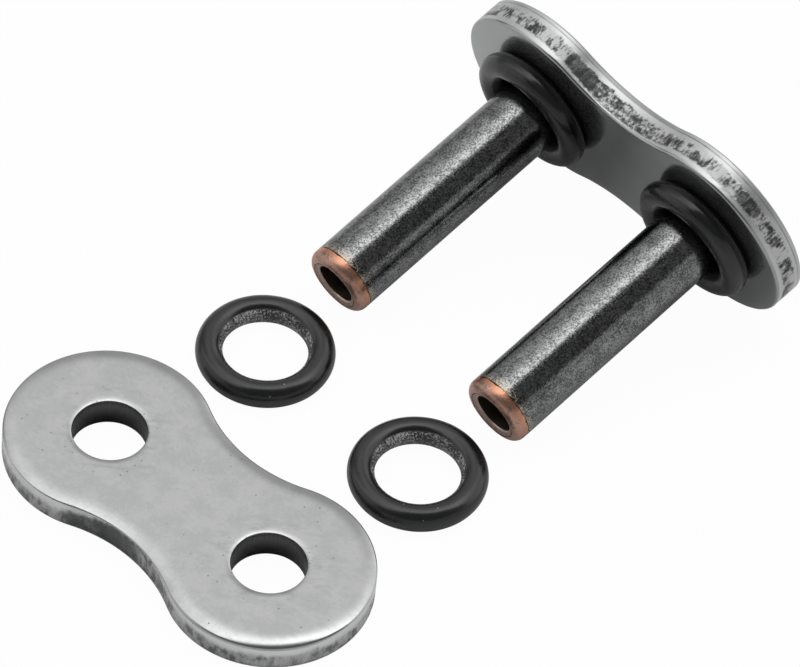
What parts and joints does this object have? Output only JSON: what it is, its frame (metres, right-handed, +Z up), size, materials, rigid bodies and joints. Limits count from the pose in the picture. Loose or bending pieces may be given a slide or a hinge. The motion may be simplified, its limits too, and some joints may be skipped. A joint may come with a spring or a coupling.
{
  "type": "chain connecting link",
  "caption": "Rivet-type connecting link of a sealed roller chain: waisted plates, drilled rivet pins and round seal rings, laid out ready to fit.",
  "frame": {"origin": "on the bench, under the middle of the laid-out set", "axes": "+Z up, +X along the chain pitch, +Y from the loose front plate to the standing rear plate"},
  "size_m": [0.0314, 0.0526, 0.0149],
  "materials": {
    "plate_steel": "blanked and tumbled carbon steel, ground bright on its faces, with a smooth burnished band and a rough torn band on the cut edge",
    "pin_steel": "hardened alloy steel, dark and finely speckled, with a copper-plated drilled free end",
    "seal_rubber": "moulded black nitrile rubber with a soft sheen"
  },
  "bodies": {
    "pinned_link": {"rear_link_plate": "plate_steel", "left_rivet_pin": "pin_steel", "right_rivet_pin": "pin_steel"},
    "left_seated_ring": {"left_seated_o_ring": "seal_rubber"},
    "right_seated_ring": {"right_seated_o_ring": "seal_rubber"},
    "left_loose_ring": {"left_loose_o_ring": "seal_rubber"},
    "right_loose_ring": {"right_loose_o_ring": "seal_rubber"},
    "front_plate": {"front_link_plate": "plate_steel"}
  },
  "joints": [
    {"name": "left_seated_ring_slide", "type": "slide", "parent": "pinned_link", "child": "left_seated_ring", "axis": [0, -0.9746, -0.2238], "range_m": [0, 0.021]},
    {"name": "right_seated_ring_slide", "type": "slide", "parent": "pinned_link", "child": "right_seated_ring", "axis": [0, -0.9746, -0.2238], "range_m": [0, 0.021]},
    {"name": "left_loose_ring_lift", "type": "slide", "parent": "pinned_link", "child": "left_loose_ring", "axis": [0, 0, 1], "range_m": [0, 0.02]},
    {"name": "right_loose_ring_lift", "type": "slide", "parent": "pinned_link", "child": "right_loose_ring", "axis": [0, 0, 1], "range_m": [0, 0.02]},
    {"name": "front_plate_lift", "type": "slide", "parent": "pinned_link", "child": "front_plate", "axis": [0, 0, 1], "range_m": [0, 0.02]}
  ]
}
